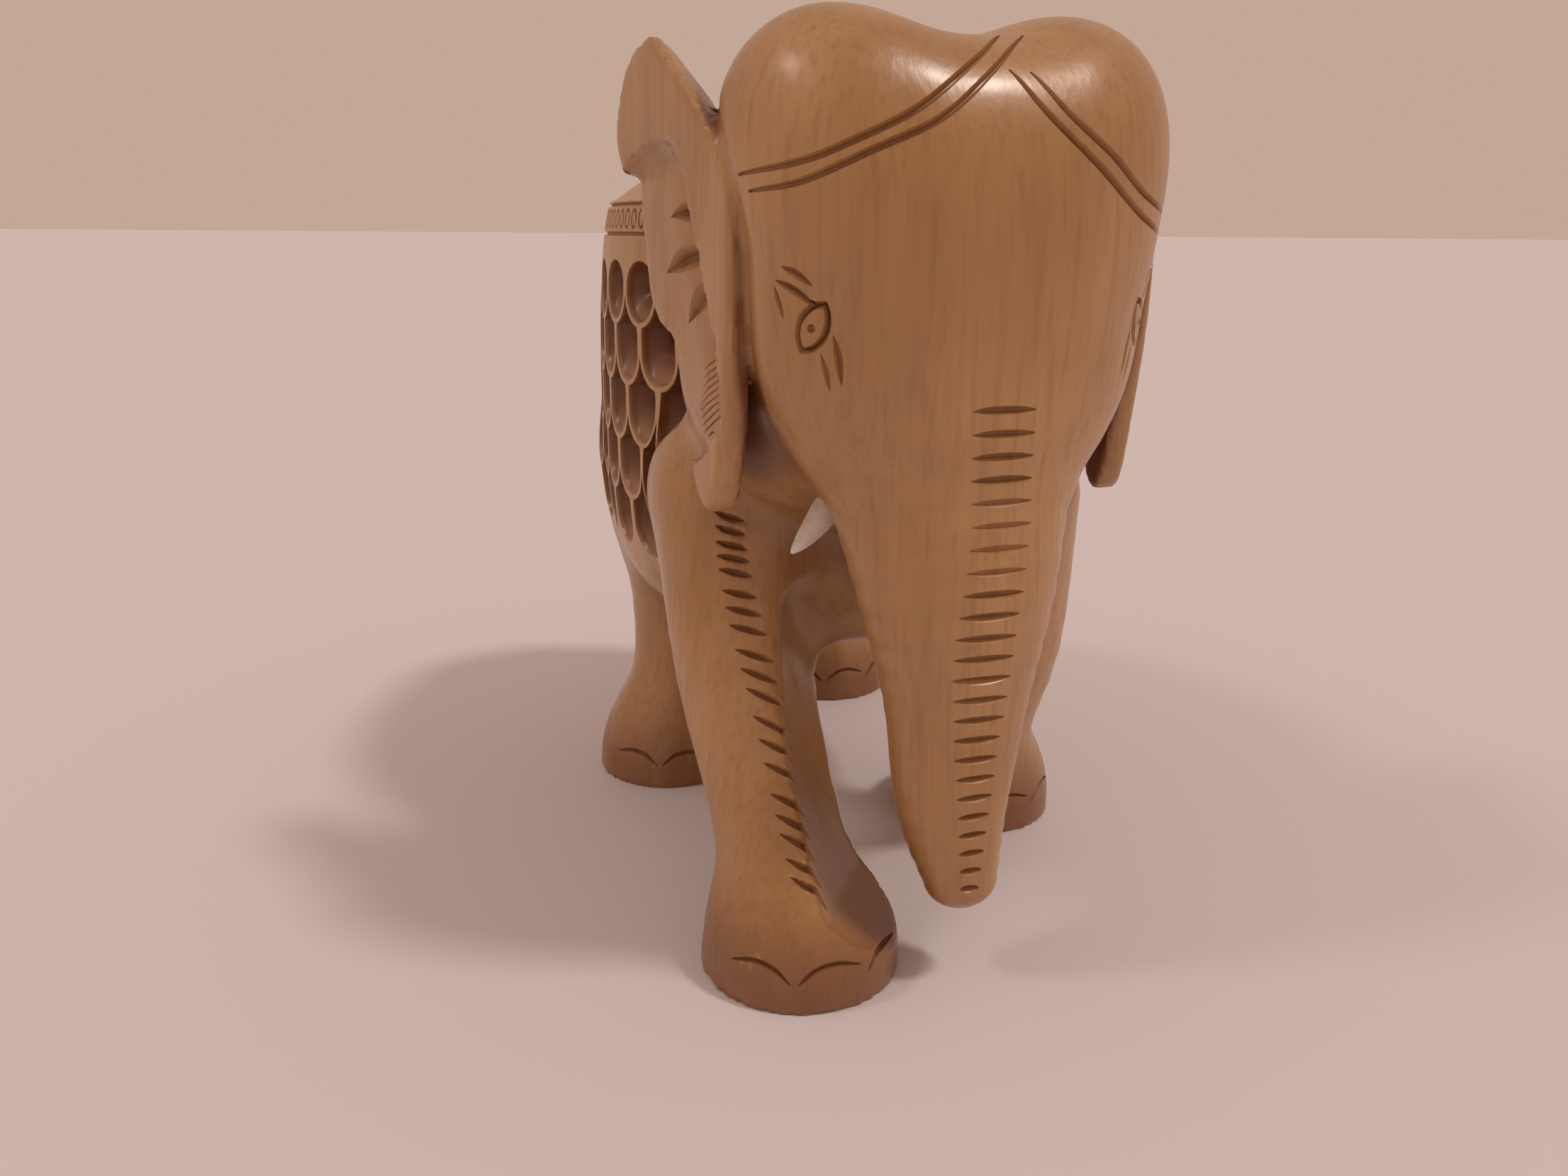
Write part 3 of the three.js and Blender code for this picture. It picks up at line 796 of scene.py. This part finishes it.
def wood_material(name, light, middle, dark, carved):
    # carved is the dark colour painted as shade near the floor, in hollows and down in cuts.
    material, nodes, links = new_material(name)
    shader = nodes["Principled BSDF"]
    place = nodes.new("ShaderNodeTexCoord").outputs["Object"]
    grain = scaled_noise(nodes, links, place, (1100, 1100, 60), 4.0)
    bands = scaled_noise(nodes, links, place, (130, 130, 12), 2.0)
    patches = scaled_noise(nodes, links, place, (30, 30, 22), 3.0)
    colour = blend_colours(nodes, links, ranged(nodes, links, patches, 0.35, 0.65), middle, light)
    colour = blend_colours(nodes, links, ranged(nodes, links, bands, 0.42, 0.75, 0, 0.3), colour, dark)
    colour = blend_colours(nodes, links, ranged(nodes, links, grain, 0.42, 0.8, 0, 0.45), colour, dark)
    depth = nodes.new("ShaderNodeAttribute")
    depth.attribute_name = "carved"
    hollow_shade_amount = nodes.new("ShaderNodeAttribute")
    hollow_shade_amount.attribute_name = "hollow_shade_amount"
    height = nodes.new("ShaderNodeSeparateXYZ")
    links.new(place, height.inputs["Vector"])
    # Painted shade: the wood turns darker and redder towards the floor, below 19 mm.
    painted_foot_shade = ranged(nodes, links, height.outputs["Z"], 0.019, 0.003, 0, 0.62)
    colour = blend_colours(nodes, links, painted_foot_shade, colour, carved)
    # Painted shade in hollows and under overhangs, by how closed in each point is.
    painted_hollow_shade = ranged(nodes, links, hollow_shade_amount.outputs["Fac"], 0.1, 0.7, 0, 0.78)
    colour = blend_colours(nodes, links, painted_hollow_shade, colour, carved)
    # Painted shade in cuts and lattice holes, darker the deeper they lie below the uncut surface.
    share = ranged(nodes, links, depth.outputs["Fac"], 0.02, 0.7, 0, 0.8)
    colour = blend_colours(nodes, links, share, colour, carved)
    edge = nodes.new("ShaderNodeNewGeometry").outputs["Pointiness"]
    colour = blend_colours(nodes, links, ranged(nodes, links, edge, 0.53, 0.62, 0, 0.3), colour, light)
    links.new(colour, shader.inputs["Base Color"])
    polish = nodes.new("ShaderNodeMath")
    polish.operation = "ADD"
    links.new(ranged(nodes, links, patches, 0.3, 0.7, 0.31, 0.41), polish.inputs[0])
    links.new(ranged(nodes, links, depth.outputs["Fac"], 0.02, 0.4, 0, 0.28), polish.inputs[1])
    links.new(polish.outputs[0], shader.inputs["Roughness"])
    shader.inputs["Coat Weight"].default_value = 0.25
    shader.inputs["Coat Roughness"].default_value = 0.22
    bump = nodes.new("ShaderNodeBump")
    bump.inputs["Strength"].default_value = 0.3
    bump.inputs["Distance"].default_value = 0.00015
    links.new(grain, bump.inputs["Height"])
    knife_marks = nodes.new("ShaderNodeBump")
    knife_marks.inputs["Strength"].default_value = 0.35
    knife_marks.inputs["Distance"].default_value = 0.0012
    links.new(scaled_noise(nodes, links, place, (120, 120, 70), 1.0), knife_marks.inputs["Height"])
    links.new(bump.outputs["Normal"], knife_marks.inputs["Normal"])
    links.new(knife_marks.outputs["Normal"], shader.inputs["Normal"])
    return material


def inlay_material():
    material, nodes, links = new_material("white_inlay")
    shader = nodes["Principled BSDF"]
    place = nodes.new("ShaderNodeTexCoord").outputs["Object"]
    streaks = scaled_noise(nodes, links, place, (260, 260, 900), 3.0)
    share = ranged(nodes, links, streaks, 0.3, 0.7)
    colour = blend_colours(nodes, links, share, (0.80, 0.77, 0.70), (0.90, 0.88, 0.83))
    links.new(colour, shader.inputs["Base Color"])
    links.new(ranged(nodes, links, streaks, 0.3, 0.7, 0.24, 0.34), shader.inputs["Roughness"])
    shader.inputs["Subsurface Weight"].default_value = 0.15
    shader.inputs["Subsurface Radius"].default_value = (0.002, 0.0015, 0.001)
    bump = nodes.new("ShaderNodeBump")
    bump.inputs["Strength"].default_value = 0.1
    bump.inputs["Distance"].default_value = 0.0001
    links.new(streaks, bump.inputs["Height"])
    links.new(bump.outputs["Normal"], shader.inputs["Normal"])
    return material


# ---- The pieces ---------------------------------------------------------------------------------------
def carved_body():
    piece = make_object("carved_body", *UNCUT)
    cut(piece, [hollow()])
    for group in scale_groups():
        cut(piece, group)
    cut(piece, trunk_ticks() + leg_ticks() + headband())
    cut(piece, eyes() + ear_petals())
    cut(piece, ear_lines() + tail_ticks())
    cut(piece, border() + [nail for leg in LEGS for nail in toenails(leg)])
    mark_painted_shade(piece, elephant_form)
    piece.data.set_sharp_from_angle(angle=math.radians(40))
    return piece


def carved_calf():
    points, faces = skin(calf_form, (-13, -25, -1.6), (13, 19, 36), 0.8)
    points = points + (CALF_AT[0], CALF_AT[1], HOLLOW_FLOOR + GAP)
    piece = make_object("carved_calf", points, faces)
    mark_painted_shade(piece, lambda x, y, z: calf_form(x - CALF_AT[0], y - CALF_AT[1], z - HOLLOW_FLOOR - GAP))
    piece.data.set_sharp_from_angle(angle=math.radians(60))
    return piece


TUSK = dict(root=(13.6, -31, 66.5), lean=(0.66, -0.36, -0.72), radius=2.1, reach=10.5, hook=1.6)
# Along the tusk from the inner end of its peg: the distance from the jaw and the share of the radius.
TUSK_PROFILE = [(-6, 0.96), (-5.8, 1), (0, 1), (1.8, 0.965), (3.7, 0.86), (5.4, 0.73), (6.8, 0.62),
                (8.2, 0.46), (9.4, 0.3), (10.1, 0.17), (10.45, 0.06)]


def tusk(side):
    """A round horn along its lean, curving a little upward past the jaw."""
    lean = np.array([side * TUSK["lean"][0], *TUSK["lean"][1:]])
    lean /= np.linalg.norm(lean)
    across = np.cross(lean, (0, 0, 1))
    across /= np.linalg.norm(across)
    over = np.cross(across, lean)
    root = np.array([side * TUSK["root"][0], *TUSK["root"][1:]])
    sides = 24
    rings = []
    for t, share in TUSK_PROFILE:
        lift = np.array([0, 0, TUSK["hook"] * max(t / TUSK["reach"], 0) ** 2])
        for a in 2 * np.pi * np.arange(sides) / sides:
            spoke = np.cos(a) * across + np.sin(a) * over
            rings.append(root + lean * t + lift + TUSK["radius"] * share * spoke)
    shape = outward(np.array(rings), tube_faces(len(TUSK_PROFILE), sides))
    piece = make_object("tusk_inlay_right" if side < 0 else "tusk_inlay_left", *shape)
    piece.data.shade_smooth()
    piece.data.set_sharp_from_angle(angle=math.radians(50))
    return piece


LIGHT_WOOD = (0.50, 0.285, 0.125)
MIDDLE_WOOD = (0.42, 0.225, 0.088)
DARK_WOOD = (0.27, 0.12, 0.038)
# The dark red-brown that the wood material paints as shade near the floor, in hollows and down in cuts.
SHADE_WOOD = (0.14, 0.034, 0.007)
WOOD = wood_material("carved_wood", LIGHT_WOOD, MIDDLE_WOOD, DARK_WOOD, SHADE_WOOD)
INLAY = inlay_material()

PIECES = [
    (carved_body(), "body", "elephant", "carved_wood", WOOD),
    (carved_calf(), "calf", "calf", "calf_wood", WOOD),
    (tusk(-1), "tusk_right", "elephant", "white_inlay", INLAY),
    (tusk(1), "tusk_left", "elephant", "white_inlay", INLAY),
]
for piece, node, rides_on, slot, material in PIECES:
    piece.data.materials.clear()
    piece.data.materials.append(material)
    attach(piece, rides_on)
    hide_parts(node)

# ---- Camera, floor and light ----------------------------------------------------------------------------
CAMERA_AT = (np.array([-69.43, -187.47, 102.67]) + HOME) * MM
CAMERA_LENS = 28.19
CAMERA_TURN = 17.498           # from +Y towards +X
CAMERA_DOWN = 16.213
CAMERA_TILT = 0.439


def add_camera():
    data = bpy.data.cameras.new("camera")
    data.sensor_width = 36.0
    data.lens = CAMERA_LENS
    data.clip_start = 0.01
    camera = bpy.data.objects.new("camera", data)
    bpy.context.scene.collection.objects.link(camera)
    camera.location = Vector(CAMERA_AT)
    turn = Matrix.Rotation(math.radians(-CAMERA_TURN), 3, "Z")
    turn = turn @ Matrix.Rotation(math.radians(90 - CAMERA_DOWN), 3, "X")
    turn = turn @ Matrix.Rotation(math.radians(CAMERA_TILT), 3, "Z")
    camera.rotation_euler = turn.to_euler()
    bpy.context.scene.camera = camera


def plain_material(name, colour, roughness):
    material, nodes, _ = new_material(name)
    shader = nodes["Principled BSDF"]
    shader.inputs["Base Color"].default_value = (*colour, 1)
    shader.inputs["Roughness"].default_value = roughness
    return material


FLOOR_REACH = 40


def add_floor():
    """A pale table top, wide enough to reach the horizon."""
    mesh = bpy.data.meshes.new("floor")
    points = [(-FLOOR_REACH, -FLOOR_REACH, 0), (FLOOR_REACH, -FLOOR_REACH, 0), (FLOOR_REACH, FLOOR_REACH, 0),
              (-FLOOR_REACH, FLOOR_REACH, 0)]
    mesh.from_pydata(points, [], [(0, 1, 2, 3)])
    mesh.materials.append(plain_material("table_top", (0.70, 0.675, 0.72), 0.7))
    floor = bpy.data.objects.new("floor", mesh)
    bpy.context.scene.collection.objects.link(floor)


def sun(name, toward, strength, softness, colour):
    data = bpy.data.lights.new(name, "SUN")
    data.energy, data.angle, data.color = strength, math.radians(softness), colour
    light = bpy.data.objects.new(name, data)
    light.rotation_euler = Vector(toward).to_track_quat("Z", "Y").to_euler()
    bpy.context.scene.collection.objects.link(light)


def add_lights():
    """Two soft lamps overhead, one to each side, in a warm pale room."""
    sun("lamp_right", (0.48, -0.3, 1), 0.95, 7, (1, 0.88, 0.80))
    sun("lamp_left", (-0.8, 0.05, 1), 0.35, 9, (1, 0.88, 0.80))
    world = bpy.data.worlds.new("world")
    bpy.context.scene.world = world
    world.use_nodes = True
    world.node_tree.nodes["Background"].inputs["Color"].default_value = (0.545, 0.39, 0.31, 1)
    world.node_tree.nodes["Background"].inputs["Strength"].default_value = 1.0
    bpy.context.scene.view_settings.view_transform = "Standard"


add_camera()
add_floor()
add_lights()
